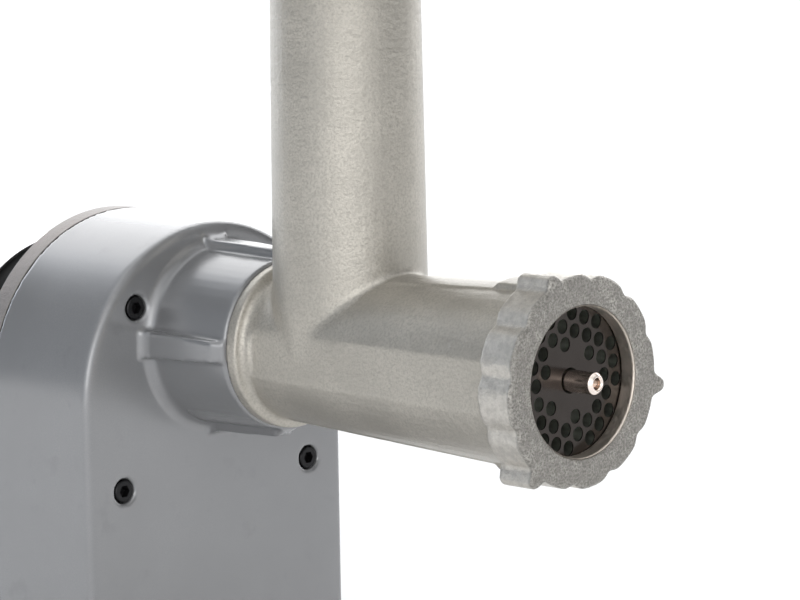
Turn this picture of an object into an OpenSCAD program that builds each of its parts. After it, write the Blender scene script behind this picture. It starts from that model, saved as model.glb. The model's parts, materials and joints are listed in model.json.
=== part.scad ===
// Electric meat grinder: cast head on a gearbox, induction motor behind, on a low base.
// X is across, Y runs from the outlet (-Y) to the motor (+Y), Z is up.
// Part modules are drawn about the auger axis, with y = 0 on the gearbox's front face,
// and at_axis() carries them to the origin, the middle of the base's footprint on the floor.

/* [Head] */
// Diameter of the cutting plate
plate_d = 70; // [66:0.5:71]
// Diameter of the holes in the cutting plate
plate_hole_d = 6; // [3:0.5:6.5]
// Outer radius of the barrel beside its flange
barrel_r = 33; // [32.5:0.5:34]
// Outer radius of the feed tube at the barrel's axis
tube_r = 34.1; // [33:0.1:35]
// Height of the feed tube's mouth above the auger axis
tube_top = 175; // [150:1:200]

/* [Ring nut] */
// Radius over the rounded lobes
ring_r = 44.2; // [43.5:0.1:46]
// Radius of the outlet opening
ring_open_r = 31; // [28:0.5:32]
// Height of the tallest of the three lugs over the lobes
lug_h = 6.4; // [5:0.1:7]

/* [Gearbox] */
// Half width of the housing's front face
face_r = 74.5; // [74:0.5:78]
// Radius of the edge between front face and sides
edge_r = 2.7; // [1:0.1:4]
// Depth of the gear housing
housing_d = 64; // [62:1:64]
// Height of the arch's centre above the auger axis
arch_z = -25.9; // [-27:0.1:-25]
// Length of the boss that holds the head
boss_l = 48.8; // [46:0.1:50]

/* [Motor] */
// Radius of the motor's shell
shell_r = 64; // [64:0.5:66]
// Rearmost point of the motor's cover
motor_end = 285; // [284:1:292]

/* [Tray] */
// Width of the feed tray
tray_w = 260; // [230:5:320]
// Depth of the feed tray
tray_d = 190; // [160:5:200]
// Height of the feed tray's walls
tray_h = 36; // [25:1:50]

/* [Hidden] */

$fn = 64;
eps = 0.02;              // gap between pieces pressed or screwed together
fit = 0.05;              // radial clearance of a running fit
loose = 0.3;             // gap between pieces that come apart by hand

// heights below the auger axis
floor_z = -150;          // underside of the gearbox, top of the base plate
base_t = 8;
foot_h = 14;
axis_h = base_t + foot_h - floor_z;

// stations along Y
pin_tip_y = -233.1;
ring_front_y = -226;
ring_back_y = -207.3;
plate_front_y = -218.06;
plate_t = 7;
plate_back_y = plate_front_y + plate_t;
flange_y = -54.5;
strip_end_y = -188.5;
thread_y = -206.5;
barrel_end_y = -217;
chamber_y = -203;
spigot_end_y = -21;
tube_y = -89.25;
mid_y = (pin_tip_y + motor_end) / 2;

// outside of the head
taper = 0.0372;          // growth of the barrel's radius along each mm towards the outlet
flat_depth = 1.6;        // depth of the flats on the barrel's sides
strip_w = 23;            // raised strips along the barrel's top and bottom
strip_h = 0.6;
strip_end_r = 40.6;      // their thicker ends, next to the ring nut
strip_ramp = 3;
rim_r = 37.3;            // flange that meets the boss
rim_edge_r = 1.2;
thread_r = 38.8;
thread_root_r = 37.6;
thread_pitch = 3;

// bores of the head
auger_bore_r = 28.3;
auger_r = 26.3;
rib_tip_r = 26.8;
knife_bore_r = 31;
seat_r = plate_d / 2 + 0.2;
tube_bore_r = 26.5;
spigot_r = 27.4;
socket_r = spigot_r + fit;
pin_r = 4.6;
plate_bore_r = 5.3;

// gearbox
wall = 7;
cavity_r = 71;
cavity_floor_z = -78;    // bottom of the gear chamber; the wiring bay is below it
bay_w = 140;
bay_h = 60;
bay_z = floor_z + 6;
gasket_t = 0.5;
rear_y = housing_d + gasket_t;
plate_rear_y = 75;
side_rear_r = 79.6;
screw_xz = [[46.5, 16.5], [-46.5, 16.5], [56, -65], [-56, -65]];
housing_foot_at = [for (x = [-62, 62], y = [18, 52]) [x, y]];
lock_y = -34;
boss_r = 45.2;           // at its root; it tapers to boss_tip_r
boss_root_r = 5.4;
boss_tip_r = 37.7;
rib_r = 47.5;

// gear train: motor pinion -> intermediate gear, intermediate pinion -> output gear
pressure = 25;
m1 = 1.25;
m2 = 1.75;
pinion_n = 12;
gear1_n = 46;
gear2_n = 44;
motor_z = -26;
d1 = m1 * (pinion_n + gear1_n) / 2;
d2 = m2 * (pinion_n + gear2_n) / 2;
mid_z = (d2 * d2 - d1 * d1 + motor_z * motor_z) / (2 * motor_z);
mid_x = sqrt(d2 * d2 - mid_z * mid_z);
mid_shaft_r = 6;
mid_bush_r = 8;
output_r = 12.5;
clip_groove_r = 11.7;
seal_r = 23.5;           // seat of the shaft seal and the front bearing
stage1_y = 34;
stage1_w = 12;
stage2_y = 12;
stage2_w = 16;

// motor
flange_r = 62;
flange_end_y = 116;
shell_y = 110;
shell_end_y = 238;
bell_end_y = 250;
core_y = 130;
core_l = 70;
tie_r = 59;
flange_screw_r = 54;     // circle of the screws that hold the motor's flange
cover_r = 61.3;          // seat of the rear cover on the end bell
cover_screw_y = 254;

// electrics
pad_x = 80.6;
switch_y = 35;
switch_z = -112;
button_at = 10.5;        // each button's distance from the switch's middle
button_r = 7.7;
gland = [-58, -116];

// ---------- shared shapes ----------

module at_axis() { translate([0, -mid_y, axis_h]) children(); }

// cylinder along Y between two stations
module rod(r, y0, y1) { translate([0, y0, 0]) rotate([-90, 0, 0]) cylinder(r = r, h = y1 - y0); }

// body of revolution about Y from [radius, y] points
module turned(points) { rotate([-90, 0, 0]) rotate_extrude() polygon(points); }

// ring about Y
module ring(r_in, r_out, y0, y1) {
    turned([[r_in, y0], [r_out, y0], [r_out, y1], [r_in, y1]]);
}

// outline in the XZ plane, extruded from y0 to y1
module slab(y0, y1) { translate([0, y1, 0]) rotate([90, 0, 0]) linear_extrude(y1 - y0) children(); }

module box(x0, x1, y0, y1, z0, z1) { translate([x0, y0, z0]) cube([x1 - x0, y1 - y0, z1 - z0]); }

module at(x, z) { translate([x, 0, z]) children(); }

// arch: round above its centre, straight below
module arch_outline(r, bottom) {
    translate([0, arch_z]) circle(r);
    translate([-r, bottom]) square([2 * r, arch_z - bottom]);
}

module rounded_rect(w, d, r) {
    square([w - 2 * r, d], center = true);
    square([w, d - 2 * r], center = true);
    for (x = [-1, 1], y = [-1, 1]) translate([x * (w / 2 - r), y * (d / 2 - r)]) circle(r);
}

// hexagon socket cap screw along Y, its head's top at y0
module cap_screw(head_r, head_h, r, length, key, y0) {
    difference() {
        union() {
            turned([[0, y0], [head_r - 0.5, y0], [head_r, y0 + 0.5], [head_r, y0 + head_h],
                [0, y0 + head_h]]);
            rod(r, y0 + head_h - 0.5, y0 + head_h + length);
        }
        slab(y0 - 1, y0 + head_h * 0.6) circle(r = key / sqrt(3), $fn = 6);
    }
}

// involute gear outline, one tooth centred on the +X axis
function inv_at(r, rb) = r <= rb ? 0 : sqrt(r * r / (rb * rb) - 1) * 180 / PI - acos(rb / r);
function tooth(m, n, backlash) = let (
        rp = m * n / 2,
        rb = rp * cos(pressure),
        ra = rp + 0.8 * m,
        rf = rp - m,
        half = 90 / n - backlash / rp * 90 / PI + inv_at(rp, rb),
        radii = [rf, max(rf, rb), (max(rf, rb) + rp) / 2, rp, (rp + ra) / 2, ra])
    concat([for (r = radii) [r, -(half - inv_at(r, rb))]],
        [for (i = [5:-1:0]) [radii[i], half - inv_at(radii[i], rb)]]);
function gear_points(m, n) = let (t = tooth(m, n, 0.16))
    [for (k = [0:n - 1], p = t) let (a = p[1] + k * 360 / n) p[0] * [cos(a), sin(a)]];
module gear_outline(m, n, turn) { rotate(turn) polygon(gear_points(m, n)); }

mesh1 = atan2(mid_z - motor_z, mid_x);       // direction from motor to intermediate axis
mesh2 = atan2(-mid_z, -mid_x);               // direction from intermediate to output axis

// deep groove ball bearing, faces at y0 and y0 + w
module bearing_ring(r0, r1, groove_r, ball_r, y0, w) {
    difference() {
        ring(r0, r1, y0, y0 + w);
        translate([0, y0 + w / 2, 0]) rotate([-90, 0, 0]) rotate_extrude()
            translate([groove_r, 0]) circle(ball_r + fit, $fn = 32);
    }
}
module bearing_outer(bore_r, out_r, ball_r, y0, w) {
    mean = (bore_r + out_r) / 2;
    bearing_ring(mean + 0.45 * ball_r, out_r - eps, mean, ball_r, y0, w);
}
module bearing_inner(bore_r, out_r, ball_r, y0, w) {
    mean = (bore_r + out_r) / 2;
    bearing_ring(bore_r + eps, mean - 0.45 * ball_r, mean, ball_r, y0, w);
}
module bearing_balls(bore_r, out_r, ball_r, y0, w, n) {
    mean = (bore_r + out_r) / 2;
    translate([0, y0 + w / 2, 0]) for (k = [0:n - 1])
        rotate([0, 360 * k / n, 0]) translate([mean, 0, 0]) sphere(ball_r, $fn = 32);
}

// ---------- head ----------

function barrel_at(y) = barrel_r + taper * (flange_y - y);

// everything between the flats on the barrel's two sides
module between_flats() {
    near_x = barrel_r - flat_depth;
    far_x = barrel_at(thread_y) - flat_depth;
    clear = 60;
    side = [[clear, 0], [clear, flange_y - 2], [near_x, flange_y - 4], [far_x, thread_y],
        [far_x, thread_y - 1], [clear, thread_y - 1], [clear, -240]];
    translate([0, 0, -clear]) linear_extrude(300)
        polygon(concat(side, [for (i = [len(side) - 1:-1:0]) [-side[i][0], side[i][1]]]));
}

module barrel_strips() {
    start_y = flange_y - 6;
    intersection() {
        turned([[0, start_y], [barrel_at(start_y) + strip_h, start_y],
            [barrel_at(strip_end_y + strip_ramp) + strip_h, strip_end_y + strip_ramp],
            [strip_end_r, strip_end_y], [strip_end_r, thread_y], [0, thread_y]]);
        box(-strip_w / 2, strip_w / 2, thread_y - 1, flange_y, -60, 60);
    }
}

module barrel() {
    rim_x = rim_r - rim_edge_r;
    root_r = rim_x - barrel_r;
    turned(concat([[0, spigot_end_y], [spigot_r - 1, spigot_end_y],
        [spigot_r, spigot_end_y - 1], [spigot_r, -boss_l - eps], [rim_r, -boss_l - eps]],
        [for (a = [0:15:90]) [rim_x + rim_edge_r * cos(a), flange_y + rim_edge_r - rim_edge_r * sin(a)]],
        [for (a = [0:15:90]) [rim_x - root_r * sin(a), flange_y - root_r + root_r * cos(a)]],
        [[barrel_at(thread_y), thread_y], [thread_root_r, thread_y - 0.8]],
        [for (y = [thread_y - 1.4:-thread_pitch:barrel_end_y + 2]) each [[thread_root_r, y],
            [thread_r, y - 0.6], [thread_r, y - 1.3], [thread_root_r, y - 1.9]]],
        [[thread_root_r, barrel_end_y], [0, barrel_end_y]]));
}

module grinder_body() {
    color([0.66, 0.65, 0.61]) at_axis() difference() {
        union() {
            intersection() {
                barrel();
                between_flats();
            }
            barrel_strips();
            // feed tube, eased into the barrel's flattened sides at its foot
            translate([0, tube_y, 0]) rotate_extrude() polygon([[0, -10], [31.4, -10], [32.7, 0], [33.5, 10],
                [tube_r - 0.2, 21], [tube_r - 0.01 * tube_top, tube_top], [0, tube_top]]);
        }
        // bores along the auger axis: shaft end, bush, auger, knife and plate
        rod(14, -45, 0);
        rod(16 + eps, -57.5, -40);
        rod(auger_bore_r, chamber_y - 1, -57.5);
        rod(knife_bore_r, barrel_end_y, chamber_y);
        rod(seat_r, barrel_end_y - 1, plate_back_y + 0.06);
        at(0, seat_r) rod(2 + eps, barrel_end_y - 1, -207.9);
        translate([0, tube_y, 0]) cylinder(r = tube_bore_r, h = tube_top + 1);
        // groove that the lock screw's pad enters
        box(spigot_r - 3, 40, lock_y - 5, 0, -5, 5);
    }
    color([0.66, 0.65, 0.61]) at_axis() for (k = [0:5]) rotate([0, 60 * k, 0])
        box(rib_tip_r, auger_bore_r + 1.2, chamber_y + 1, -125, -1.5, 1.5);
}

module plate_key() {
    color("silver") at_axis() at(0, seat_r) rod(2, barrel_end_y, -208);
}

module auger_bush() {
    color([0.75, 0.6, 0.35]) at_axis() ring(12, 16, -57, -40.5);
}

module thrust_washer() {
    color([0.9, 0.9, 0.85]) at_axis() ring(12.3, 27.5, -59.6, -57.6);
}

// hole centres: a triangular lattice, the inner ring and the far corners left solid
lattice_pitch = 7.7;
lattice_turn = -19;
module plate_holes() {
    for (a = [-4:4], b = [-4:4])
        if (len(search(a * a + a * b + b * b, [4, 7, 9, 12, 13])) > 0)
            rotate(lattice_turn) translate(lattice_pitch * [a + b / 2, b * sqrt(3) / 2])
                circle(plate_hole_d / 2, $fn = 32);
}

module cutting_plate() {
    color([0.42, 0.41, 0.4]) at_axis() slab(plate_front_y + eps, plate_back_y) difference() {
        circle(plate_d / 2);
        circle(plate_bore_r);
        plate_holes();
        translate([0, seat_r]) circle(2.4, $fn = 32);
    }
}

// radius of the ring nut: shallow notches between lobes, three of them filled by rounded lugs
notch_turn = -8;
notch_depth = 2;
lugs = [[notch_turn, lug_h], [notch_turn + 120, lug_h - 2.4], [notch_turn + 240, lug_h - 0.6]];
function apart(a, b) = abs((a - b + 540) % 360 - 180);
function notch(a) = let (u = (a - notch_turn + 360) % 30) exp(-pow(min(u, 30 - u) / 4.5, 2));
function lug(a) = max([for (l = lugs) (l[1] + notch_depth) * exp(-pow(apart(a, l[0]) / 4.6, 3))]);
function ring_radius(a) = ring_r - notch_depth * notch(a) + lug(a);

module ring_outline(shrink) {
    polygon([for (a = [0:1.5:358.5]) (ring_radius(a) - shrink) * [cos(a), sin(a)]]);
}

module ring_nut() {
    color([0.62, 0.63, 0.6]) at_axis() difference() {
        union() {
            slab(ring_front_y + 1, ring_back_y - 1) ring_outline(0);
            slab(ring_front_y, ring_back_y) ring_outline(0.8);
        }
        rod(thread_r + loose, plate_front_y, ring_back_y + 1);
        rod(ring_open_r, ring_front_y - 1, plate_front_y + 1);
        turned([[0, ring_front_y - 1], [ring_open_r + 2.2, ring_front_y - 1],
            [ring_open_r, ring_front_y + 1.2], [0, ring_front_y + 1.2]]);
    }
}

module auger() {
    turns = 4;
    flight_y = -60;
    flight_l = flight_y - chamber_y - 1;
    color([0.7, 0.7, 0.68]) at_axis() difference() {
        union() {
            turned([[0, -58], [12 - fit, -58], [12 - fit, -40.2], [0, -40.2]]);
            turned([[0, flight_y], [14, flight_y], [17, chamber_y + 1], [0, chamber_y + 1]]);
            rod(11, flight_y - 0.5, -57);
            translate([0, flight_y, 0]) rotate([90, 0, 0])
                linear_extrude(flight_l, twist = 360 * turns, slices = 112, $fn = 12)
                    polygon(concat([[0, 0]], [for (a = [0:9:54]) auger_r * [cos(a), sin(a)]]));
            box(-6.8, 6.8, -41, -17, -6.8, 6.8);
            box(-6.3, 6.3, plate_back_y + 0.3, chamber_y + 2, -6.3, 6.3);
        }
        rod(pin_r + eps, -240, -180);
    }
}

module auger_pin() {
    color([0.7, 0.68, 0.66]) at_axis() difference() {
        turned([[0, -180.5], [pin_r, -180.5], [pin_r, pin_tip_y + 1.3], [pin_r - 1.3, pin_tip_y],
            [0, pin_tip_y]]);
        turned([[0, pin_tip_y - 1], [2.8, pin_tip_y - 1], [2.8, pin_tip_y], [2.2, pin_tip_y + 1],
            [2.2, pin_tip_y + 6], [0, pin_tip_y + 7]]);
    }
}

module knife() {
    color([0.7, 0.7, 0.72]) at_axis() slab(plate_back_y + 0.06, chamber_y - 0.6) difference() {
        union() {
            circle(13);
            for (k = [0:3]) rotate(90 * k + 20)
                polygon([[0, -7], [20, -5.5], [29.5, -5], [29.5, 1], [12, 7], [0, 7]]);
        }
        square(12.9, center = true);
    }
}

// ---------- tray and pusher ----------

module feed_tray() {
    z0 = tube_top + 0.05;
    t = 1.4;
    inner_w = tray_w - 8;
    inner_d = tray_d - 8;
    neck_r = tube_bore_r - loose;
    color([0.8, 0.8, 0.82]) at_axis() translate([0, tube_y, 0]) difference() {
        union() {
            translate([0, 0, z0]) linear_extrude(tray_h - t) rounded_rect(inner_w, inner_d, 22);
            translate([0, 0, z0 + tray_h - t]) linear_extrude(t) rounded_rect(tray_w, tray_d, 26);
            translate([0, 0, tube_top - 25]) cylinder(r = neck_r, h = 26);
        }
        translate([0, 0, z0 + t]) linear_extrude(tray_h)
            rounded_rect(inner_w - 2 * t, inner_d - 2 * t, 22 - t);
        translate([0, 0, tube_top - 26]) cylinder(r = neck_r - t, h = 60);
    }
}

module pusher() {
    stop_z = tube_top + 1.6;
    color("whitesmoke") at_axis() translate([0, tube_y, 0]) rotate_extrude() polygon([
        [0, 82], [19.5, 82], [21.5, 84], [23.5, stop_z], [36, stop_z], [38, stop_z + 2],
        [38, stop_z + 6], [36, stop_z + 8], [18, stop_z + 10], [14, stop_z + 18],
        [13.5, stop_z + 40], [19, stop_z + 52], [20, stop_z + 60], [17, stop_z + 66],
        [9, stop_z + 70], [0, stop_z + 71]]);
}

// ---------- gearbox ----------

// quarter-round edge in front, then drafted sides
side_profile = concat([[0, 0]],
    [for (a = [0:15:90]) [face_r + edge_r * sin(a), edge_r - edge_r * cos(a)]],
    [[side_rear_r, housing_d], [0, housing_d]]);

module drafted_arch() {
    at(0, arch_z) turned(side_profile);
    translate([0, 0, floor_z]) linear_extrude(arch_z - floor_z)
        polygon(concat(side_profile, [for (i = [len(side_profile) - 2:-1:1])
            [-side_profile[i][0], side_profile[i][1]]]));
}

module boss_rib() {
    width = 12.6;
    intersection() {
        translate([0, 0, -10]) linear_extrude(20) polygon([[30, 3], [rib_r, 3], [rib_r, 0.5],
            [boss_r, -1.2], [43.8, -5], [42.4, -43.6], [boss_tip_r + 0.9, -boss_l], [30, -boss_l]]);
        rotate([90, 0, 0]) translate([0, 0, -4]) linear_extrude(60)
            translate([38, 0]) square([30, width + 0.4], center = true);
        rotate([0, 90, 0]) linear_extrude(60) polygon([[-width / 2, 4], [width / 2, 4], [6, -5],
            [4.7, -boss_l - 1], [-4.7, -boss_l - 1], [-6, -5]]);
    }
}

module housing_outside() {
    drafted_arch();
    turned(concat([[0, 3], [boss_r, 3], [boss_r, 0]],
        [for (a = [15:15:90]) [boss_r - boss_root_r * sin(a), -boss_root_r + boss_root_r * cos(a)]],
        [[boss_tip_r + 0.6, -boss_l + 0.6], [boss_tip_r, -boss_l], [0, -boss_l]]));
    for (k = [0:3]) rotate([0, 90 * k, 0]) boss_rib();
    translate([0, lock_y, 0]) rotate([0, 90, 0]) cylinder(r = 10, h = 50);
    box(60, pad_x, switch_y - 22, switch_y + 22, switch_z - 26, switch_z + 26);
}

module housing_inside() {
    slab(wall, housing_d + 1) difference() {
        union() {
            translate([0, arch_z]) circle(cavity_r);
            translate([-cavity_r, cavity_floor_z]) square([2 * cavity_r, arch_z - cavity_floor_z]);
        }
        for (p = screw_xz) translate(p) circle(6);
    }
    slab(wall, housing_d + 1) difference() {
        translate([-bay_w / 2, bay_z]) square([bay_w, bay_h]);
        for (x = [-1, 1]) translate([x * 62, bay_z]) square([16, 24], center = true);
    }
}

module gear_housing() {
    color([0.72, 0.73, 0.76]) at_axis() difference() {
        union() {
            difference() {
                housing_outside();
                housing_inside();
            }
            at(mid_x, mid_z) rod(11, wall - 1, 10);
        }
        // socket for the head, seal and bearing seats
        rod(socket_r, -boss_l - 1, -20.5);
        rod(seal_r, -21, -1);
        rod(20, -2, wall + 1);
        at(mid_x, mid_z) rod(mid_bush_r + eps, 2, 11);
        // screws: clearance holes and counterbores
        for (p = screw_xz) at(p[0], p[1]) {
            rod(3.3, -1, housing_d + 1);
            rod(5.7, -1, 6.3);
        }
        translate([20, lock_y, 0]) rotate([0, 90, 0]) cylinder(r = 5 + fit, h = 40);
        box(60, pad_x + 1, switch_y - 15, switch_y + 15, switch_z - 19, switch_z + 19);
        for (p = housing_foot_at) translate([p[0], p[1], floor_z - 1]) cylinder(r = 3 + eps, h = 17);
    }
}

module gearbox_gasket() {
    color([0.12, 0.12, 0.12]) at_axis() slab(housing_d, rear_y) difference() {
        arch_outline(side_rear_r - 0.3, floor_z);
        arch_outline(cavity_r, cavity_floor_z);
        for (p = screw_xz) translate(p) circle(3.3, $fn = 32);
        translate([-bay_w / 2, bay_z]) square([bay_w, bay_h]);
    }
}

module rear_plate() {
    color([0.62, 0.63, 0.65]) at_axis() difference() {
        union() {
            slab(rear_y, plate_rear_y) arch_outline(side_rear_r, floor_z);
            at(mid_x, mid_z) rod(11, rear_y - 2, rear_y + 1);
            rod(16.2, rear_y - 2, rear_y + 1);
        }
        rod(14, rear_y - 3, 73.2);
        at(mid_x, mid_z) rod(mid_bush_r + eps, rear_y - 3, 73.2);
        at(0, motor_z) rod(9, rear_y - 3, plate_rear_y + 1);
        for (p = screw_xz) at(p[0], p[1]) rod(3 + eps, rear_y - 1, 73.6);
        at(0, motor_z) each_flange_screw() rod(2.5 + eps, rear_y + 1, plate_rear_y + 1);
        at(gland[0], gland[1]) rod(8 + eps, rear_y - 1, plate_rear_y + 1);
        at(12, floor_z + 24) rod(6, rear_y - 1, plate_rear_y + 1);
    }
}

module housing_screws() {
    color([0.1, 0.1, 0.11]) at_axis() for (p = screw_xz) at(p[0], p[1]) cap_screw(5, 6, 3, 67, 5, 0.3);
}

module shaft_seal() {
    color([0.15, 0.15, 0.15]) at_axis() difference() {
        ring(output_r + fit, seal_r - eps, -20.4, -13.2);
        ring(15, 20, -21, -17);
    }
}

module output_shaft() {
    color([0.7, 0.7, 0.72]) at_axis() difference() {
        turned([[0, -34], [output_r - 0.5, -34], [output_r, -33.5], [output_r, -1], [15, -1],
            [15, 11.9], [output_r, 11.9], [output_r, 28.1], [clip_groove_r, 28.1],
            [clip_groove_r, 29.7], [output_r, 29.7], [output_r, 33], [10, 33], [10, 66],
            [7.5, 66], [7.5, 73], [0, 73]]);
        box(-7, 7, -35, -16, -7, 7);
        box(-4, 4, stage2_y, stage2_y + stage2_w, 9, 14);
    }
}

module output_gear() {
    color([0.6, 0.6, 0.58]) at_axis() difference() {
        slab(stage2_y, stage2_y + stage2_w) gear_outline(m2, gear2_n, mesh2 + 180 / gear2_n + 180);
        rod(output_r + eps, stage2_y - 1, stage2_y + stage2_w + 1);
        box(-4 - eps, 4 + eps, stage2_y - 1, stage2_y + stage2_w + 1, 9, 16);
        ring(20, 32, stage2_y - 1, stage2_y + 4);
        ring(20, 32, stage2_y + stage2_w - 4, stage2_y + stage2_w + 1);
    }
}

module output_key() {
    color("gray") at_axis() box(-4 + eps, 4 - eps, stage2_y + 0.1, stage2_y + stage2_w - 0.1, 9.1, 15.9);
}

module output_circlip() {
    color([0.3, 0.3, 0.32]) at_axis() difference() {
        ring(clip_groove_r + eps, 15, 28.2, 29.6);
        box(-3, 3, 28, 30, 5, 20);
    }
}

front_bearing = [output_r, seal_r, 3.2, -13, 12];
rear_bearing = [7.5, 14, 1.9, 66, 7];
module each_output_bearing() { for ($b = [front_bearing, rear_bearing]) children(); }

module output_bearing_outers() {
    color("silver") at_axis() each_output_bearing() bearing_outer($b[0], $b[1], $b[2], $b[3], $b[4]);
}
module output_bearing_inners() {
    color("silver") at_axis() each_output_bearing() bearing_inner($b[0], $b[1], $b[2], $b[3], $b[4]);
}
module output_bearing_balls() {
    color("gainsboro") at_axis() each_output_bearing() bearing_balls($b[0], $b[1], $b[2], $b[3], $b[4], 10);
}

module intermediate_shaft() {
    color([0.65, 0.65, 0.67]) at_axis() at(mid_x, mid_z) difference() {
        union() {
            rod(mid_shaft_r, 2.4, 72.8);
            slab(stage2_y - 1, stage2_y + stage2_w + 1) gear_outline(m2, pinion_n, mesh2);
            rod(8.5, stage2_y + stage2_w, stage1_y);
        }
        box(-2, 2, stage1_y, stage1_y + stage1_w, 3.5, 7);
    }
}

module intermediate_gear() {
    color([0.6, 0.6, 0.58]) at_axis() at(mid_x, mid_z) difference() {
        slab(stage1_y + 0.1, stage1_y + stage1_w) gear_outline(m1, gear1_n, mesh1 + 180 / gear1_n + 180);
        rod(mid_shaft_r + eps, stage1_y - 1, stage1_y + stage1_w + 1);
        box(-2 - eps, 2 + eps, stage1_y - 1, stage1_y + stage1_w + 1, 3.5, 7.6);
        ring(12, 23, stage1_y - 1, stage1_y + 3);
        ring(12, 23, stage1_y + stage1_w - 3, stage1_y + stage1_w + 1);
    }
}

module intermediate_key() {
    color("gray") at_axis() at(mid_x, mid_z)
        box(-2 + eps, 2 - eps, stage1_y + 0.2, stage1_y + stage1_w - 0.1, 3.6, 7.5);
}

module intermediate_bushes() {
    color([0.75, 0.6, 0.35]) at_axis() at(mid_x, mid_z) {
        ring(mid_shaft_r + fit, mid_bush_r, 2.1, 10);
        ring(mid_shaft_r + fit, mid_bush_r, rear_y - 2, 73.1);
    }
}

// ---------- lock screw, a hand screw that clamps the head ----------

module along_x(x0) { translate([x0, lock_y, 0]) rotate([0, 90, 0]) children(); }

module lock_pad() {
    color([0.75, 0.6, 0.35]) at_axis() along_x(spigot_r - 2.9) difference() {
        cylinder(r = 4.2, h = 3);
        translate([0, 0, 1]) cylinder(r = 2.2, h = 3);
    }
}

module lock_screw() {
    color([0.7, 0.7, 0.72]) at_axis() along_x(spigot_r + 0.15) {
        translate([0, 0, -1.7]) cylinder(r = 2.2 - fit, h = 3);
        translate([0, 0, 0.1]) cylinder(r = 5, h = 40);
    }
}

module lock_knob() {
    color([0.08, 0.08, 0.08]) at_axis() along_x(57) difference() {
        union() {
            cylinder(r = 9, h = 6);
            translate([0, 0, 5]) linear_extrude(15) {
                circle(12);
                for (a = [0:120:240]) rotate(a) translate([0, 13]) circle(7);
            }
            translate([0, 0, 5]) cylinder(r = 10, h = 17);
        }
        translate([0, 0, -1]) cylinder(r = 5 + eps, h = 13);
    }
}

// ---------- motor ----------

corners = [45:90:315];
module each_flange_screw() {
    for (a = corners) at(flange_screw_r * cos(a), flange_screw_r * sin(a)) children();
}
module each_tie_bolt() { for (a = corners) rotate([0, a, 0]) translate([tie_r, 0, 0]) children(); }

// hole for each of the rear cover's four radial screws
module cover_screw_holes(r) {
    for (a = [0:90:270]) rotate([0, a, 0])
        translate([cover_r - 5, cover_screw_y, 0]) rotate([0, 90, 0]) cylinder(r = r, h = 10);
}

module motor_flange() {
    color([0.05, 0.05, 0.05]) at_axis() at(0, motor_z) difference() {
        turned([[0, plate_rear_y], [flange_r - 0.8, plate_rear_y], [flange_r, plate_rear_y + 0.8],
            [flange_r, flange_end_y], [56, flange_end_y], [56, 92], [26, 92], [24, 94], [0, 94]]);
        rod(11, plate_rear_y - 1, 81);
        rod(20, 80.5, 95);
        each_tie_bolt() rod(2.5 + eps, 104, 120);
        each_flange_screw() {
            rod(2.7, plate_rear_y - 1, 93);
            rod(4.6, 87, 93);
        }
    }
}

module flange_screws() {
    head_y = 91.8;
    color([0.12, 0.12, 0.12]) at_axis() at(0, motor_z) each_flange_screw()
        translate([0, 2 * head_y, 0]) mirror([0, 1, 0]) cap_screw(4.25, 4.6, 2.5, 21, 4, head_y);
}

module motor_seal() {
    color([0.15, 0.15, 0.15]) at_axis() at(0, motor_z) ring(6 + fit, 11 - eps, plate_rear_y + 0.3, 80.4);
}

module motor_shell() {
    color([0.9, 0.9, 0.92]) at_axis() at(0, motor_z) ring(flange_r + 0.1, shell_r, shell_y, shell_end_y);
}

module stator_core() {
    color([0.45, 0.47, 0.5]) at_axis() at(0, motor_z) slab(core_y, core_y + core_l) difference() {
        circle(flange_r - 0.1);
        circle(32.3);
        for (a = [0:15:345]) rotate(a) translate([33.5, -2]) square([13, 4]);
        for (a = corners) rotate(a) translate([tie_r, 0]) circle(3.4, $fn = 32);
    }
}

module stator_windings() {
    color([0.72, 0.4, 0.2]) at_axis() at(0, motor_z) for (y = [core_y - 10, core_y + core_l + 10])
        translate([0, y, 0]) rotate([-90, 0, 0]) rotate_extrude() translate([42, 0]) circle(8.5);
}

module rotor_core() {
    color([0.5, 0.5, 0.52]) at_axis() at(0, motor_z) {
        ring(10 + eps, 31.9, core_y, core_y + core_l);
        ring(20, 30, core_y - 7, core_y - 0.02);
        ring(20, 30, core_y + core_l + 0.02, core_y + core_l + 7);
    }
}

module motor_shaft() {
    color([0.7, 0.7, 0.72]) at_axis() at(0, motor_z) {
        turned([[0, 32], [6, 32], [6, 80.5], [8.5, 80.5], [8.5, 93], [10, 93], [10, 236], [7.5, 236],
            [7.5, 248], [6, 248], [6, 272], [0, 272]]);
        slab(stage1_y - 0.5, stage1_y + stage1_w + 0.5) gear_outline(m1, pinion_n, mesh1);
    }
}

drive_bearing = [8.5, 20, 3.3, 80.6, 12];
tail_bearing = [7.5, 17.5, 2.9, 236.1, 11];
module each_motor_bearing() {
    at_axis() at(0, motor_z) for ($b = [drive_bearing, tail_bearing]) children();
}

module motor_bearing_outers() {
    color("silver") each_motor_bearing() bearing_outer($b[0], $b[1], $b[2], $b[3], $b[4]);
}
module motor_bearing_inners() {
    color("silver") each_motor_bearing() bearing_inner($b[0], $b[1], $b[2], $b[3], $b[4]);
}
module motor_bearing_balls() {
    color("gainsboro") each_motor_bearing() bearing_balls($b[0], $b[1], $b[2], $b[3], $b[4], 8);
}

module motor_end_bell() {
    color([0.7, 0.71, 0.73]) at_axis() at(0, motor_z) difference() {
        turned([[0, 234], [22, 234], [24, 238], [55, 238], [56, 228], [flange_r, 228],
            [flange_r, shell_end_y + eps], [shell_r, shell_end_y + eps], [shell_r, bell_end_y],
            [cover_r, bell_end_y], [cover_r, bell_end_y + 8], [57, bell_end_y + 8], [57, bell_end_y - 6],
            [24, bell_end_y - 6], [22, bell_end_y], [0, bell_end_y]]);
        rod(17.5, 233, 247.3);
        rod(9, 240, 260);
        each_tie_bolt() {
            rod(2.7, 220, 245);
            rod(6, 240, 262);
        }
        cover_screw_holes(2);
    }
}

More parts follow.
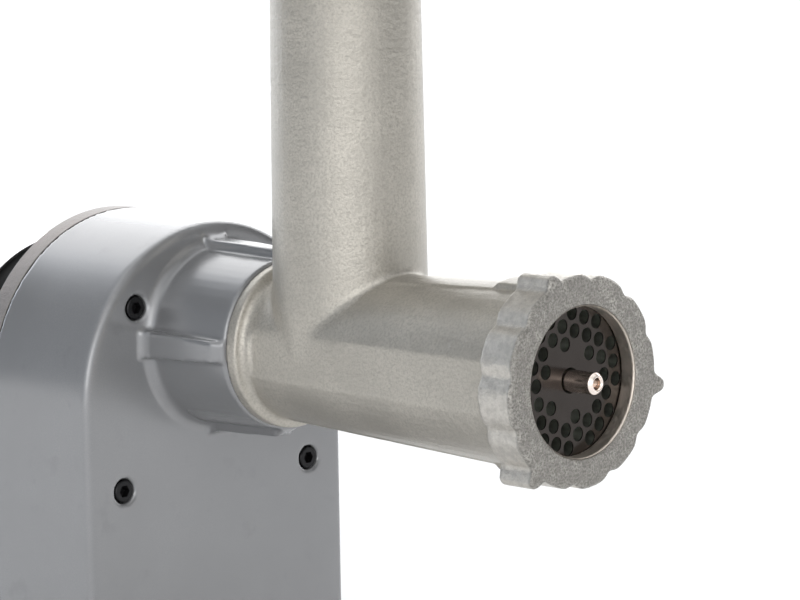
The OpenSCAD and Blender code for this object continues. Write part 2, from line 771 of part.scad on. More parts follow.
module tie_bolts() {
    color([0.3, 0.3, 0.32]) at_axis() at(0, motor_z) each_tie_bolt() {
        rod(2.5, 105, 241);
        slab(240.1, 244) circle(4.4, $fn = 6);
    }
}

module cooling_fan() {
    color([0.15, 0.15, 0.16]) at_axis() at(0, motor_z) difference() {
        union() {
            rod(10, 256, 271);
            ring(8, 50, 256, 258);
            slab(257, 270) for (a = [0:45:315]) rotate(a) translate([9, -1]) square([42, 2]);
        }
        rod(6 + eps, 250, 280);
    }
}

module rear_cover() {
    t = 2.4;
    color([0.07, 0.07, 0.07]) at_axis() at(0, motor_z) difference() {
        turned([[cover_r + eps, bell_end_y + eps], [shell_r, bell_end_y + eps], [shell_r, motor_end - 8],
            [shell_r - 2.5, motor_end - 2.5], [shell_r - 8, motor_end], [0, motor_end],
            [0, motor_end - t], [shell_r - 9, motor_end - t], [cover_r + eps, motor_end - 9]]);
        slab(motor_end - 10, motor_end + 1) for (x = [-40:10:40])
            let (half = sqrt(50 * 50 - x * x)) translate([x - 2.2, -half]) square([4.4, 2 * half]);
        cover_screw_holes(2.1);
    }
    color([0.07, 0.07, 0.07]) at_axis() at(0, motor_z) ring(17, 21, motor_end - t, motor_end);
}

module rear_cover_screws() {
    color([0.3, 0.3, 0.32]) at_axis() at(0, motor_z) for (a = [0:90:270]) rotate([0, a, 0])
        translate([0, cover_screw_y, 0]) rotate([0, 90, 0]) {
            translate([0, 0, 57.5]) cylinder(r = 2 - eps, h = 6.6);
            difference() {
                translate([0, 0, shell_r + eps]) cylinder(r1 = 3.8, r2 = 2.6, h = 1.8);
                translate([-0.5, -3, shell_r + 1]) cube([1, 6, 2]);
            }
        }
}

// ---------- electrics ----------

module button_holes(x0) {
    for (s = [-1, 1]) translate([x0, switch_y, switch_z + s * button_at]) rotate([0, 90, 0])
        cylinder(r = button_r + loose, h = 16);
}

module switch_plate() {
    color([0.06, 0.06, 0.06]) at_axis() difference() {
        box(pad_x + eps, pad_x + 3, switch_y - 20, switch_y + 20, switch_z - 24, switch_z + 24);
        button_holes(pad_x - 1);
        for (s = [-16, 16]) translate([pad_x - 1, switch_y + s, switch_z]) rotate([0, 90, 0])
            cylinder(r = 1.6, h = 6);
    }
}

module switch_body() {
    color([0.2, 0.2, 0.22]) at_axis() difference() {
        box(50, pad_x - 0.1, switch_y - 14.5, switch_y + 14.5, switch_z - 18.5, switch_z + 18.5);
        button_holes(70);
    }
}

module push_button(z) {
    translate([pad_x - 5.6, switch_y, z]) rotate([0, 90, 0]) rotate_extrude()
        polygon([[0, 0], [button_r, 0], [button_r, 10.6], [button_r - 0.7, 11.6], [4, 12.2], [0, 12.3]]);
}
module start_button() {
    color([0.1, 0.5, 0.2]) at_axis() push_button(switch_z + button_at);
}
module stop_button() {
    color([0.7, 0.08, 0.06]) at_axis() push_button(switch_z - button_at);
}

module capacitor() {
    color([0.85, 0.85, 0.83]) at_axis() translate([-60, 26, -112]) rotate([0, 90, 0]) {
        cylinder(r = 17.5, h = 62);
        for (y = [-5, 5]) translate([0, y, 61]) cylinder(r = 1.5, h = 8);
    }
}

module terminal_block() {
    color([0.85, 0.85, 0.8]) at_axis() difference() {
        box(16, 44, 20, 44, floor_z + 6 + eps, floor_z + 22);
        for (x = [21, 30, 39]) translate([x, 10, floor_z + 13]) rod(2.2, 0, 50);
        for (x = [21, 30, 39], y = [26, 38]) translate([x, y, floor_z + 14]) cylinder(r = 2, h = 20);
    }
}

module cable_gland() {
    color([0.07, 0.07, 0.07]) at_axis() at(gland[0], gland[1]) difference() {
        union() {
            rod(8, rear_y - 7, plate_rear_y + 1);
            slab(plate_rear_y + eps, plate_rear_y + 6) circle(12.5, $fn = 6);
            turned([[0, plate_rear_y + 5], [10.5, plate_rear_y + 5], [10.5, plate_rear_y + 15],
                [7, plate_rear_y + 22], [0, plate_rear_y + 22]]);
        }
        rod(4, rear_y - 8, plate_rear_y + 23);
    }
}

module gland_nut() {
    color([0.1, 0.1, 0.1]) at_axis() at(gland[0], gland[1]) slab(rear_y - 6, rear_y - eps) difference() {
        circle(11.5, $fn = 6);
        circle(8 + eps);
    }
}

// ---------- base ----------

base_y = [-16, 262];
base_half_w = 84;
foot_at = [for (x = [-66, 66], y = [base_y[0] + 22, base_y[1] - 22]) [x, y]];
stand_y = [188, 212];
stand_screw_at = [for (x = [-28, 28]) [x, (stand_y[0] + stand_y[1]) / 2]];

module base_plate() {
    depth = base_y[1] - base_y[0];
    mid = (base_y[0] + base_y[1]) / 2;
    color([0.68, 0.69, 0.72]) at_axis() difference() {
        translate([0, mid, floor_z - base_t]) {
            linear_extrude(base_t - 1.5 - eps) rounded_rect(2 * base_half_w, depth, 18);
            translate([0, 0, base_t - 1.6]) linear_extrude(1.6 - eps)
                rounded_rect(2 * base_half_w - 3, depth - 3, 17);
        }
        for (p = concat(housing_foot_at, stand_screw_at)) translate([p[0], p[1], floor_z - base_t - 1]) {
            cylinder(r = 3.3, h = 20);
            cylinder(r = 5.7, h = 5);
        }
        for (p = foot_at) translate([p[0], p[1], floor_z - base_t - 1]) cylinder(r = 2.5 + eps, h = 20);
    }
}

module motor_stand() {
    mid = (stand_y[0] + stand_y[1]) / 2;
    color([0.68, 0.69, 0.72]) at_axis() difference() {
        slab(stand_y[0], stand_y[1]) difference() {
            polygon([[-44, floor_z], [44, floor_z], [44, floor_z + 10], [36, floor_z + 22],
                [40, motor_z - 48], [-40, motor_z - 48], [-36, floor_z + 22], [-44, floor_z + 10]]);
            translate([0, motor_z]) circle(shell_r + 0.1);
        }
        for (p = stand_screw_at) translate([p[0], p[1], floor_z - 1]) cylinder(r = 3 + eps, h = 17);
    }
}

module base_screws() {
    color([0.3, 0.3, 0.32]) at_axis() for (p = concat(housing_foot_at, stand_screw_at))
        translate([p[0], p[1], floor_z - base_t]) rotate([-90, 0, 0]) mirror([0, 1, 0])
            cap_screw(5, 3.8, 3, 16, 4, 0.1);
}

module rubber_feet() {
    color([0.08, 0.08, 0.08]) at_axis() for (p = foot_at)
        translate([p[0], p[1], floor_z - base_t - foot_h]) rotate_extrude() polygon([[6, 0], [11, 0],
            [12.5, 1.5], [15, foot_h - eps], [2.6, foot_h - eps], [2.6, foot_h - 5], [6, foot_h - 5]]);
}

module foot_screws() {
    color([0.4, 0.4, 0.42]) at_axis() for (p = foot_at)
        translate([p[0], p[1], floor_z - base_t - foot_h]) {
            translate([0, 0, foot_h - 8]) cylinder(r = 4.5, h = 3 - eps);
            translate([0, 0, foot_h - 6]) cylinder(r = 2.5, h = 6 + base_t - 1);
        }
}

// ---------- drawing ----------

grinder_body();
plate_key();
auger_bush();
thrust_washer();
cutting_plate();
ring_nut();
auger();
auger_pin();
knife();
feed_tray();
pusher();
gear_housing();
gearbox_gasket();
rear_plate();
housing_screws();
shaft_seal();
output_shaft();
output_gear();
output_key();
output_circlip();
output_bearing_outers();
output_bearing_inners();
output_bearing_balls();
intermediate_shaft();
intermediate_gear();
intermediate_key();
intermediate_bushes();
lock_pad();
lock_screw();
lock_knob();
motor_flange();
flange_screws();
motor_seal();
motor_shell();
stator_core();
stator_windings();
rotor_core();
motor_shaft();
motor_bearing_outers();
motor_bearing_inners();
motor_bearing_balls();
motor_end_bell();
tie_bolts();
cooling_fan();
rear_cover();
rear_cover_screws();
switch_plate();
switch_body();
start_button();
stop_button();
capacitor();
terminal_block();
cable_gland();
gland_nut();
base_plate();
motor_stand();
base_screws();
rubber_feet();
foot_screws();
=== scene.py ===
"""Looks of the electric meat grinder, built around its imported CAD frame."""
import json
import math

import bmesh
import bpy
from mathutils import Matrix, Vector


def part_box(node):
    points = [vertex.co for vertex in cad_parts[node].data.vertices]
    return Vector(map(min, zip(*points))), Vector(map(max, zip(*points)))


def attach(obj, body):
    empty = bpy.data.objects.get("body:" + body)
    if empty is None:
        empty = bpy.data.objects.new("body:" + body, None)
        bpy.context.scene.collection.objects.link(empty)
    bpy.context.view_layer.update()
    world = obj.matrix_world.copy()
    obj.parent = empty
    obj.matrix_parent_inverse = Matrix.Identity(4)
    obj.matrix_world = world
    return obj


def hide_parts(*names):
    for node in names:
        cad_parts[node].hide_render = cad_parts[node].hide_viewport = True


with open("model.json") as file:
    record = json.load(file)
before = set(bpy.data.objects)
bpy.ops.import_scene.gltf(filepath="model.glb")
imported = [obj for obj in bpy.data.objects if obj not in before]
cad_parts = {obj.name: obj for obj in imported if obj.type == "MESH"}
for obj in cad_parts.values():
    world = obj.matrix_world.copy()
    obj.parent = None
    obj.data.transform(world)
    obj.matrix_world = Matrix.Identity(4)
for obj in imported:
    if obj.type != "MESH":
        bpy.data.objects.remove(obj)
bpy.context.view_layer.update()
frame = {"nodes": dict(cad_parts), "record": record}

MM = 0.001
node_body = {n: b for b, names in frame["record"]["behaviour"]["bodies"].items() for n in names}
node_slot = {row["node"]: row["material_slot"] for row in frame["record"]["subparts"]}


def middle(node):
    low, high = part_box(node)
    return (low + high) / 2


# The auger axis and the gearbox's front face place everything else.
HOUSING_LENGTH_MM = 64
AXIS = Vector((middle("auger_pin").x, 0, middle("auger_pin").z))
FRONT_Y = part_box("gearbox_gasket")[0].y - HOUSING_LENGTH_MM * MM

# Places in millimetres about those two: the feed tube, the middle of the housing's arch, and where the
# crisp edges start at the housing's joint and at the barrel's flange
TUBE_Y = (middle("pusher").y - FRONT_Y) / MM
ARCH_Z = -25.9
JOINT_CRISP_Y = HOUSING_LENGTH_MM - 3
FLANGE_CRISP_Y = -58

# Radii in millimetres: the housing's rim is outside the first, the bores of the auger and the feed tube are
# inside the second, and then come the feed tube's outside and the ring nut's opening
HOUSING_RIM_R = 70
BORE_CLEAR_R = 30
TUBE_R = 34
OPENING_R = 31

# Heights in the row frame between which the castings' skin turns coarser, in millimetres
COARSER_FROM_Z = AXIS.z / MM + 60
COARSEST_FROM_Z = AXIS.z / MM + 170


def on_axis(x, y, z):
    """The row frame's point for a place in millimetres from the auger axis and the gearbox's front face."""
    return Vector((AXIS.x + x * MM, FRONT_Y + y * MM, AXIS.z + z * MM))


# ---------------------------------------------------------------- materials

class Nodes:
    """The node tree of a material or a world, with short calls for the few node types used here."""

    def __init__(self, owner):
        owner.use_nodes = True
        self.owner = owner
        self.tree = owner.node_tree

    def new(self, kind, **settings):
        node = self.tree.nodes.new(kind)
        for key, value in settings.items():
            setattr(node, key, value)
        return node

    def link(self, output, socket):
        self.tree.links.new(output, socket)

    def remap(self, value, low, high, to_low=0.0, to_high=1.0):
        node = self.new("ShaderNodeMapRange", interpolation_type="SMOOTHSTEP")
        for key, number in (("From Min", low), ("From Max", high), ("To Min", to_low), ("To Max", to_high)):
            node.inputs[key].default_value = number
        self.link(value, node.inputs["Value"])
        return node.outputs["Result"]

    def maths(self, operation, a, b):
        node = self.new("ShaderNodeMath", operation=operation)
        for socket, value in zip(node.inputs, (a, b)):
            if isinstance(value, (int, float)):
                socket.default_value = value
            else:
                self.link(value, socket)
        return node.outputs["Value"]

    def mix(self, factor, dark, light):
        node = self.new("ShaderNodeMix", data_type="RGBA")
        self.link(factor, node.inputs["Factor"])
        for socket, colour in ((node.inputs[6], dark), (node.inputs[7], light)):
            if isinstance(colour, tuple):
                socket.default_value = (*colour, 1)
            else:
                self.link(colour, socket)
        return node.outputs[2]

    def blend(self, factor, a, b):
        """a where factor is 0, b where it is 1."""
        rest = self.maths("MULTIPLY", self.maths("SUBTRACT", 1, factor), a)
        return self.maths("ADD", rest, self.maths("MULTIPLY", factor, b))


class Surface(Nodes):
    """A material's nodes, laid out in the row frame."""

    def __init__(self, name):
        super().__init__(bpy.data.materials.new(name))
        self.shader = self.tree.nodes["Principled BSDF"]
        self.place = self.new("ShaderNodeTexCoord").outputs["Object"]

    def stretched(self, scale):
        node = self.new("ShaderNodeMapping")
        node.inputs["Scale"].default_value = scale
        self.link(self.place, node.inputs["Vector"])
        return node.outputs["Vector"]

    def noise(self, size_mm, detail=3.0, roughness=0.55, place=None):
        """Noise with features about size_mm across."""
        node = self.new("ShaderNodeTexNoise")
        node.inputs["Scale"].default_value = 1 / (size_mm * MM)
        node.inputs["Detail"].default_value = detail
        node.inputs["Roughness"].default_value = roughness
        self.link(place or self.place, node.inputs["Vector"])
        return node.outputs["Fac"]

    def along(self, axis, low_mm, high_mm):
        """0 below low_mm and 1 above high_mm along an axis of the row frame."""
        split = self.new("ShaderNodeSeparateXYZ")
        self.link(self.place, split.inputs["Vector"])
        return self.remap(split.outputs[axis], low_mm * MM, high_mm * MM)

    def radius(self):
        """Distance from the auger's axis, in millimetres."""
        flat = self.new("ShaderNodeVectorMath", operation="MULTIPLY")
        self.link(self.place, flat.inputs[0])
        flat.inputs[1].default_value = (1 / MM, 0, 1 / MM)
        apart = self.new("ShaderNodeVectorMath", operation="DISTANCE")
        self.link(flat.outputs["Vector"], apart.inputs[0])
        apart.inputs[1].default_value = (AXIS.x / MM, 0, AXIS.z / MM)
        return apart.outputs["Value"]

    def bump(self, height, depth_mm, strength=1.0, under=None):
        node = self.new("ShaderNodeBump")
        node.inputs["Distance"].default_value = depth_mm * MM
        node.inputs["Strength"].default_value = strength
        self.link(height, node.inputs["Height"])
        if under is not None:
            self.link(under, node.inputs["Normal"])
        return node.outputs["Normal"]

    def finish(self, colour, metallic, roughness, normal=None, **fixed):
        """Links colour, roughness and normal; metallic and the fixed values go straight on the shader."""
        self.link(colour, self.shader.inputs["Base Color"])
        self.shader.inputs["Metallic"].default_value = metallic
        if isinstance(roughness, (int, float)):
            self.shader.inputs["Roughness"].default_value = roughness
        else:
            self.link(roughness, self.shader.inputs["Roughness"])
        if normal is not None:
            self.link(normal, self.shader.inputs["Normal"])
        for key, value in fixed.items():
            self.shader.inputs[key.replace("_", " ")].default_value = value
        return self.owner


def shade(colour, factor):
    return tuple(min(1.0, c * factor) for c in colour)


def casting(name, colour, grain_mm, grain_depth, smoothest, roughest, metallic):
    """Sand-cast metal under a thin bright coat: fine grain and shallow swells, coarser high up."""
    n = Surface(name)
    grain = n.noise(grain_mm, detail=4, roughness=0.65)
    ripple = n.noise(2.6, detail=2, place=n.stretched((0.6, 0.6, 1)))
    swell = n.noise(9, detail=3)
    cloud = n.noise(28, detail=4, roughness=0.6)
    tone = n.mix(n.remap(cloud, 0.3, 0.7), shade(colour, 0.90), shade(colour, 1.07))
    tone = n.mix(n.remap(grain, 0.33, 0.62), shade(colour, 0.80), tone)
    rough = n.remap(n.maths("ADD", grain, n.maths("MULTIPLY", cloud, 0.6)), 0.5, 1.1, smoothest, roughest)
    coarser = n.maths("ADD", 1, n.along("Z", COARSER_FROM_Z, COARSEST_FROM_Z))
    normal = n.bump(swell, 0.35, 0.35)
    normal = n.bump(n.maths("MULTIPLY", ripple, coarser), grain_depth, 0.9, normal)
    normal = n.bump(grain, grain_depth, 0.9, normal)
    return n.finish(tone, metallic, rough, normal)


def ring_casting(name, colour, polished_colour):
    """Coarse, glinting casting; its sides carry painted light, a lighter tone, and a bump worn smoother;
    its opening is polished.
    """
    n = Surface(name)
    front_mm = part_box("ring_nut")[0].y / MM
    outside = n.remap(n.radius(), OPENING_R + 0.3, OPENING_R + 0.9)
    side = n.along("Y", front_mm + 0.8, front_mm + 2.4)
    grain = n.noise(1.0, detail=3, roughness=0.6)
    mottle = n.noise(3.2, detail=3, roughness=0.6)
    cloud = n.noise(20, detail=3)
    tone = n.mix(n.remap(cloud, 0.3, 0.7), shade(colour, 0.88), shade(colour, 1.10))
    tone = n.mix(n.remap(mottle, 0.36, 0.64), shade(colour, 0.72), tone)
    tone = n.mix(n.remap(grain, 0.36, 0.62), shade(colour, 0.52), tone)
    # Painted light: the sides' lighter tone stands in for the light falling on them
    painted_light_sides = n.mix(n.remap(mottle, 0.36, 0.64), shade(colour, 1.25), shade(colour, 1.48))
    tone = n.mix(n.maths("MULTIPLY", side, 0.88), tone, painted_light_sides)
    tone = n.mix(outside, polished_colour, tone)
    rough = n.remap(grain, 0.35, 0.65, 0.50, 0.34)
    depth = n.maths("SUBTRACT", 1, n.maths("MULTIPLY", side, 0.5))
    normal = n.bump(mottle, 0.5, 0.5)
    normal = n.bump(n.maths("MULTIPLY", grain, n.maths("MULTIPLY", outside, depth)), 0.8, 0.9, normal)
    return n.finish(tone, 1.0, rough, normal)


def satin_paint(name, colour):
    """Silver lacquer with fine metal flakes over a smooth casting, and faint smudges from handling."""
    n = Surface(name)
    flakes = n.noise(0.35, detail=2)
    peel = n.noise(2.2, detail=2)
    cloud = n.noise(45, detail=3)
    smudge = n.noise(16, detail=4, roughness=0.6)
    tone = n.mix(n.remap(cloud, 0.3, 0.7), shade(colour, 0.92), shade(colour, 1.05))
    tone = n.mix(n.remap(smudge, 0.58, 0.72), tone, shade(colour, 0.84))
    tone = n.mix(n.remap(flakes, 0.4, 0.65), shade(colour, 0.93), tone)
    rough = n.remap(cloud, 0.3, 0.7, 0.23, 0.265)
    normal = n.bump(peel, 0.03, 0.5)
    normal = n.bump(flakes, 0.012, 0.5, normal)
    return n.finish(tone, 0.42, rough, normal, Coat_Weight=0.4, Coat_Roughness=0.26)


def polished(name, colour, roughness, metallic=1.0):
    """Ground and polished metal: very fine marks and faint smears."""
    n = Surface(name)
    marks = n.noise(0.5, detail=3, place=n.stretched((1, 14, 1)))
    smear = n.noise(11, detail=4, roughness=0.65)
    tone = n.mix(n.remap(smear, 0.3, 0.7), shade(colour, 0.93), shade(colour, 1.04))
    rough = n.remap(n.maths("ADD", marks, smear), 0.7, 1.3, 0.825 * roughness, 1.25 * roughness)
    return n.finish(tone, metallic, rough, n.bump(marks, 0.004, 0.5))


def drilled_plate(name, face_colour, wall_colour):
    """A ground plate, darkened on its face; the walls of its holes are paler and duller."""
    n = Surface(name)
    front_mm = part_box("cutting_plate")[0].y / MM
    inside = n.along("Y", front_mm + 0.3, front_mm + 0.9)
    smear = n.noise(11, detail=4, roughness=0.65)
    tone = n.mix(n.remap(smear, 0.3, 0.7), shade(face_colour, 0.93), shade(face_colour, 1.04))
    rough = n.remap(n.maths("ADD", smear, inside), 0.3, 1.6, 0.17, 0.5)
    return n.finish(n.mix(inside, tone, wall_colour), 1.0, rough)


def brushed(name, colour, roughness, stretch, depth=0.006):
    """Metal with long, fine brushing across the given stretch."""
    n = Surface(name)
    lines = n.noise(0.35, detail=4, roughness=0.7, place=n.stretched(stretch))
    cloud = n.noise(22, detail=3)
    tone = n.mix(n.remap(lines, 0.35, 0.65), shade(colour, 0.90), shade(colour, 1.05))
    rough = n.remap(n.maths("ADD", lines, cloud), 0.75, 1.25, roughness - 0.05, roughness + 0.07)
    return n.finish(tone, 1.0, rough, n.bump(lines, depth, 0.6))


def moulded(name, colour, roughness, grain_mm=0.7, depth=0.03, coat=0.0, specular=0.5, marked=0.12):
    """Moulded plastic or rubber with a fine spark-eroded grain and slight handling marks."""
    n = Surface(name)
    grain = n.noise(grain_mm, detail=2)
    marks = n.noise(14, detail=4, roughness=0.7)
    tone = n.mix(n.remap(marks, 0.3, 0.75), shade(colour, 1 - marked), shade(colour, 1 + marked))
    rough = n.remap(marks, 0.3, 0.7, roughness - 0.06, roughness + 0.08)
    normal = n.bump(grain, depth, 0.6)
    return n.finish(tone, 0.0, rough, normal, Coat_Weight=coat, Specular_IOR_Level=specular)


def wound_copper(name):
    """Enamelled copper wire, laid round the motor's axis in fine strands."""
    n = Surface(name)
    strands = n.noise(0.9, detail=2, place=n.stretched((0.25, 2.5, 0.25)))
    tone = n.mix(n.remap(strands, 0.4, 0.6), (0.22, 0.07, 0.02), (0.62, 0.26, 0.09))
    return n.finish(tone, 0.8, 0.32, n.bump(strands, 0.25, 0.8), Coat_Weight=0.5)


def laminated(name):
    """Stacked electrical sheet: thin lines across the motor's axis."""
    n = Surface(name)
    sheets = n.noise(0.5, detail=1, place=n.stretched((0.02, 1, 0.02)))
    stain = n.noise(15, detail=4)
    tone = n.mix(n.remap(sheets, 0.4, 0.6), (0.12, 0.12, 0.13), (0.34, 0.35, 0.37))
    return n.finish(tone, 0.9, n.remap(stain, 0.3, 0.7, 0.35, 0.55), n.bump(sheets, 0.05, 0.7))


MATERIALS = {
    "tinned_cast_iron": casting("tinned_cast_iron", (0.46, 0.434, 0.384), 1.1, 0.20, 0.29, 0.38, 0.55),
    "ring_casting": ring_casting("ring_casting", (0.46, 0.44, 0.405), (0.82, 0.75, 0.67)),
    "rear_plate_casting": casting("rear_plate_casting", (0.29, 0.268, 0.255), 1.0, 0.3, 0.38, 0.53, 0.7),
    "end_bell_casting": casting("end_bell_casting", (0.55, 0.55, 0.56), 0.6, 0.06, 0.35, 0.50, 0.85),
    "silver_paint": satin_paint("silver_paint", (0.265, 0.267, 0.272)),
    "plate_steel": drilled_plate("plate_steel", (0.055, 0.048, 0.044), (0.30, 0.315, 0.275)),
    "polished_steel": polished("polished_steel", (0.95, 0.84, 0.76), 0.20),
    "tool_steel": brushed("tool_steel", (0.55, 0.55, 0.55), 0.30, (1, 8, 8)),
    "black_oxide": polished("black_oxide", (0.012, 0.012, 0.013), 0.34, 0.6),
    "black_enamel": moulded("black_enamel", (0.003, 0.003, 0.003), 0.7, 2.0, 0.02, specular=0.15),
    "stainless_shell": brushed("stainless_shell", (0.86, 0.86, 0.87), 0.16, (1, 30, 1), 0.002),
    "tray_stainless": brushed("tray_stainless", (0.74, 0.74, 0.74), 0.34, (0.05, 1, 1)),
    "white_plastic": moulded("white_plastic", (0.80, 0.79, 0.75), 0.42, 0.6, 0.02, marked=0.03),
    "black_plastic": moulded("black_plastic", (0.022, 0.022, 0.023), 0.46),
    "green_plastic": moulded("green_plastic", (0.03, 0.30, 0.09), 0.28, coat=0.3),
    "red_plastic": moulded("red_plastic", (0.55, 0.03, 0.02), 0.28, coat=0.3),
    "grey_plastic": moulded("grey_plastic", (0.50, 0.50, 0.46), 0.45),
    "foot_rubber": moulded("foot_rubber", (0.022, 0.022, 0.022), 0.72, 0.9, 0.05),
    "dark_gasket": moulded("dark_gasket", (0.030, 0.028, 0.026), 0.7, 0.5, 0.05),
    "zinc_steel": polished("zinc_steel", (0.60, 0.61, 0.62), 0.30),
    "bronze": casting("bronze", (0.58, 0.40, 0.20), 0.5, 0.03, 0.31, 0.46, 0.95),
    "gear_steel": brushed("gear_steel", (0.44, 0.43, 0.41), 0.30, (6, 1, 6)),
    "bearing_steel": polished("bearing_steel", (0.72, 0.72, 0.73), 0.12),
    "motor_iron": laminated("motor_iron"),
    "copper_winding": wound_copper("copper_winding"),
}


def dress(obj, material):
    obj.data.materials.clear()
    obj.data.materials.append(material)


# ---------------------------------------------------------------- pieces

def cad_copy(node, name):
    """A welded copy of a CAD node's mesh as a new object."""
    mesh = frame["nodes"][node].data.copy()
    obj = bpy.data.objects.new(name, mesh)
    bpy.context.scene.collection.objects.link(obj)
    shape = bmesh.new()
    shape.from_mesh(mesh)
    bmesh.ops.remove_doubles(shape, verts=shape.verts, dist=0.002 * MM)
    shape.to_mesh(mesh)
    shape.free()
    return obj


def stand_for(obj, node):
    """obj takes the CAD node's place and body, and the material of its slot."""
    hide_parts(node)
    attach(obj, node_body[node])
    dress(obj, MATERIALS[node_slot[node]])
    return obj


def applied(obj):
    """Turns obj's modifiers into its mesh."""
    graph = bpy.context.evaluated_depsgraph_get()
    mesh = bpy.data.meshes.new_from_object(obj.evaluated_get(graph), depsgraph=graph)
    obj.modifiers.clear()
    obj.data = mesh
    return obj


def soften(obj, passes, weight):
    """Smooths obj; weight gives each vertex its share, from its place in millimetres as in on_axis."""
    group = obj.vertex_groups.new(name="soft")
    origin = on_axis(0, 0, 0)
    for vertex in obj.data.vertices:
        share = weight(*((vertex.co - origin) / MM))
        if share > 0:
            group.add([vertex.index], share, "REPLACE")
    smooth = obj.modifiers.new("soften", "SMOOTH")
    smooth.factor = 0.5
    smooth.iterations = passes
    smooth.vertex_group = group.name
    applied(obj)
    obj.vertex_groups.clear()


def even(x, y, z):
    return 1.0


def cast(node, grid_mm, passes, weight=even, blended=None, blend_passes=0):
    """The node as a casting: every edge and corner rounded, with small fillets where walls meet."""
    obj = cad_copy(node, node + ".cast")
    remesh = obj.modifiers.new("grid", "REMESH")
    remesh.mode = "VOXEL"
    remesh.voxel_size = grid_mm * MM
    applied(obj)
    soften(obj, passes, weight)
    if blended:
        soften(obj, blend_passes, blended)
    obj.data.shade_smooth()
    return stand_for(obj, node)


# Angles in degrees between neighbouring faces: flatter ones are merged, sharper edges than the second are
# broken, and sharper ones than the third stay edges in the shading
MERGE_ANGLE = 0.6
BEVEL_ANGLE = 32
SHARP_ANGLE = 50


def machined(node, edge_mm):
    """The node with its sharp edges broken, so that they catch the light."""
    obj = cad_copy(node, node + ".edged")
    shape = bmesh.new()
    shape.from_mesh(obj.data)
    bmesh.ops.dissolve_limit(
        shape, angle_limit=math.radians(MERGE_ANGLE), verts=shape.verts, edges=shape.edges)
    shape.to_mesh(obj.data)
    shape.free()
    bevel = obj.modifiers.new("edges", "BEVEL")
    bevel.width = edge_mm * MM
    bevel.segments = 2
    bevel.limit_method = "ANGLE"
    bevel.angle_limit = math.radians(BEVEL_ANGLE)
    bevel.use_clamp_overlap = True
    applied(obj)
    obj.data.shade_smooth()
    obj.data.set_sharp_from_angle(angle=math.radians(SHARP_ANGLE))
    weighted = obj.modifiers.new("flat faces", "WEIGHTED_NORMAL")
    weighted.keep_sharp = True
    weighted.weight = 100
    applied(obj)
    return stand_for(obj, node)


def falloff(distance, reach):
    """1 at distance 0, easing to 0 at reach."""
    t = max(0.0, 1 - abs(distance) / reach)
    return t * t * (3 - 2 * t)


def from_arch_middle(x, z):
    """Distance from the middle of the housing's arch, or under it from the housing's middle plane."""
    return math.hypot(x, max(0, z - ARCH_Z))


def before_joint(x, y, z):
    """The housing's rear edge stays crisp, where it meets its gasket, and its front edge fairly so."""
    if y > JOINT_CRISP_Y:
        return 0.0
    return 0.3 if from_arch_middle(x, z) > HOUSING_RIM_R else 1.0


def arch_side(x, y, z):
    """The housing's arched and drafted outside up to its joint; its front edge gets a smaller share."""
    if y > JOINT_CRISP_Y or from_arch_middle(x, z) < HOUSING_RIM_R:
        return 0.0
    return 0.35 + 0.65 * min(1.0, max(0.0, (y - 4) / 8))


def behind_flange(x, y, z):
    """The flange's rim and the joint behind it stay fairly crisp."""
    return 0.3 if y > FLANGE_CRISP_Y else 1.0


def tube_foot(x, y, z):
    """The wide fillet where the feed tube leaves the barrel: 13 mm out from the tube, up to z = 50."""
    from_tube = math.hypot(x, y - TUBE_Y)
    if min(math.hypot(x, z), from_tube) < BORE_CLEAR_R:
        return 0.0
    return falloff(from_tube - TUBE_R, 13) * falloff(z - 14, 36)


cast("gear_housing", 1.0, 4, before_joint, blended=arch_side, blend_passes=60)
cast("grinder_body", 0.7, 5, behind_flange, blended=tube_foot, blend_passes=90)
cast("ring_nut", 0.5, 4)
MACHINED = {
    "auger_pin": 0.2, "cutting_plate": 0.12, "housing_screws": 0.25, "rear_plate": 0.5, "motor_flange": 0.6,
    "motor_shell": 0.4, "motor_end_bell": 0.5, "rear_cover": 0.3, "base_plate": 0.6, "motor_stand": 0.8,
    "lock_knob": 1.2, "switch_plate": 0.6, "base_screws": 0.2, "tie_bolts": 0.3, "rear_cover_screws": 0.15,
    "rubber_feet": 0.8, "cable_gland": 0.4, "start_button": 0.4, "stop_button": 0.4, "pusher": 0.8,
}
for node, edge_mm in MACHINED.items():
    machined(node, edge_mm)
for node, obj in frame["nodes"].items():
    if not obj.hide_render:
        dress(obj, MATERIALS[node_slot[node]])


# ---------------------------------------------------------------- camera, floor and light

def camera_axes(azimuth, elevation, roll):
    """Right, up and back of a camera that looks at the object from that side."""
    a, e, r = map(math.radians, (azimuth, elevation, roll))
    back = Vector((math.sin(a) * math.cos(e), -math.cos(a) * math.cos(e), math.sin(e)))
    level = Vector((math.cos(a), math.sin(a), 0))
    upright = back.cross(level)
    right = level * math.cos(r) + upright * math.sin(r)
    up = upright * math.cos(r) - level * math.sin(r)
    return right, up, back


# The camera fitted to the picture: azimuth, elevation and roll in degrees, distance in metres, lens and
# sensor in millimetres, and its aim in millimetres right of and above a place on the auger axis
CAMERA_ANGLES = (-44.48, 7.38, -0.92)
CAMERA_DISTANCE = 1.391
LENS_MM = 144.46
SENSOR_MM = 36
AIM_Y = -100
AIM_RIGHT = 13.5
AIM_UP = 23.3

right, up, back = camera_axes(*CAMERA_ANGLES)
camera = bpy.data.objects.new("camera", bpy.data.cameras.new("camera"))
camera.data.lens = LENS_MM
camera.data.sensor_width = SENSOR_MM
camera.data.clip_end = 100
target = on_axis(0, AIM_Y, 0) + (AIM_RIGHT * right + AIM_UP * up) * MM
camera.matrix_world = Matrix((
    (right.x, up.x, back.x, 0),
    (right.y, up.y, back.y, 0),
    (right.z, up.z, back.z, 0),
    (0, 0, 0, 1),
))
camera.location = target + back * CAMERA_DISTANCE
bpy.context.scene.collection.objects.link(camera)
bpy.context.scene.camera = camera


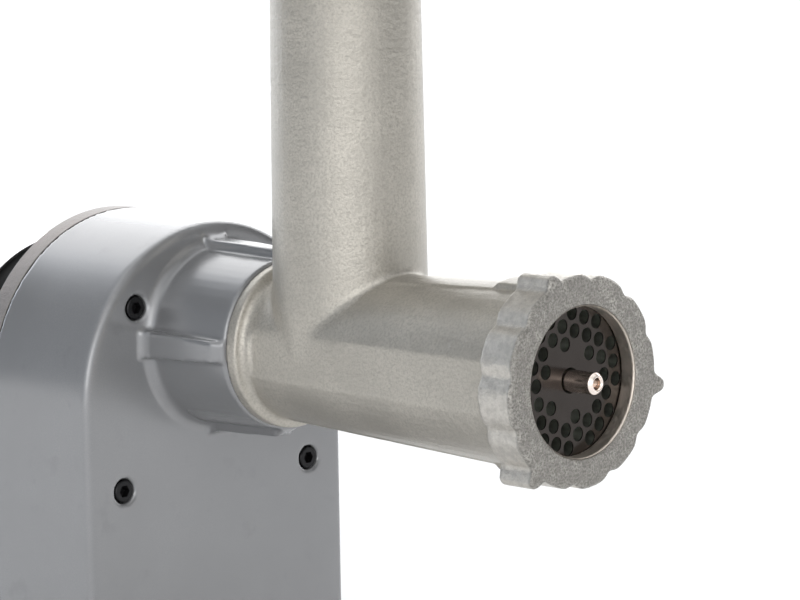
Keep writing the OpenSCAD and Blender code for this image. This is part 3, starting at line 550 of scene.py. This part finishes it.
def floor(half_width):
    mesh = bpy.data.meshes.new("floor")
    corners = [(-half_width, -half_width, 0), (half_width, -half_width, 0),
               (half_width, half_width, 0), (-half_width, half_width, 0)]
    mesh.from_pydata(corners, [], [(0, 1, 2, 3)])
    obj = bpy.data.objects.new("floor", mesh)
    bpy.context.scene.collection.objects.link(obj)
    n = Surface("floor_paper")
    tone = n.mix(n.noise(30, detail=3), (0.86, 0.86, 0.86), (0.90, 0.90, 0.90))
    dress(obj, n.finish(tone, 0.0, 0.9))


# Radiance of the studio's walls and ceiling, and of the soft box in the wall behind the camera
LEFT_WALL = 0.34
RIGHT_WALL = 0.48
NEAR_WALL = 1.3
FAR_WALL = 2.5
CEILING = 1.25
SOFT_BOX = 3.2

# Shares of the side walls' light left in their dark stretches: next to the far wall, and on the right
# next to the near wall
CORNER = 0.25
GAP = 0.25


def studio():
    """A white studio room: a bright wall before and behind the object, dim ones beside it."""
    world = bpy.data.worlds.new("studio")
    n = Nodes(world)
    split = n.new("ShaderNodeSeparateXYZ")
    n.link(n.new("ShaderNodeTexCoord").outputs["Generated"], split.inputs["Vector"])
    x, y, z = split.outputs
    away = n.maths("MULTIPLY", n.maths("ADD", x, y), math.sqrt(0.5))
    aside = n.maths("MULTIPLY", n.maths("SUBTRACT", x, y), math.sqrt(0.5))
    walls = n.remap(aside, -0.2, 0.9, LEFT_WALL, RIGHT_WALL)
    walls = n.maths("MULTIPLY", walls, n.remap(away, -0.05, 0.28, 1, CORNER))
    gap = n.maths("MULTIPLY", n.remap(away, -0.30, -0.08, 1, 0), n.remap(aside, 0, 0.5, 0, 1))
    walls = n.maths("MULTIPLY", walls, n.blend(gap, 1, GAP))
    walls = n.blend(n.remap(away, -0.80, -0.48, 1, 0), walls, NEAR_WALL)
    walls = n.blend(n.remap(away, -0.97, -0.86, 1, 0), walls, SOFT_BOX)
    room = n.blend(n.remap(z, 0.55, 0.95), walls, CEILING)
    room = n.blend(n.remap(away, 0.38, 0.56), room, FAR_WALL)
    tint = n.mix(n.remap(aside, -0.95, -0.35), (0.88, 0.97, 1.10), (0.985, 0.99, 1.0))
    background = n.tree.nodes["Background"]
    n.link(tint, background.inputs["Color"])
    n.link(room, background.inputs["Strength"])
    bpy.context.scene.world = world


floor(30)
studio()
bpy.context.scene.view_settings.view_transform = "Standard"
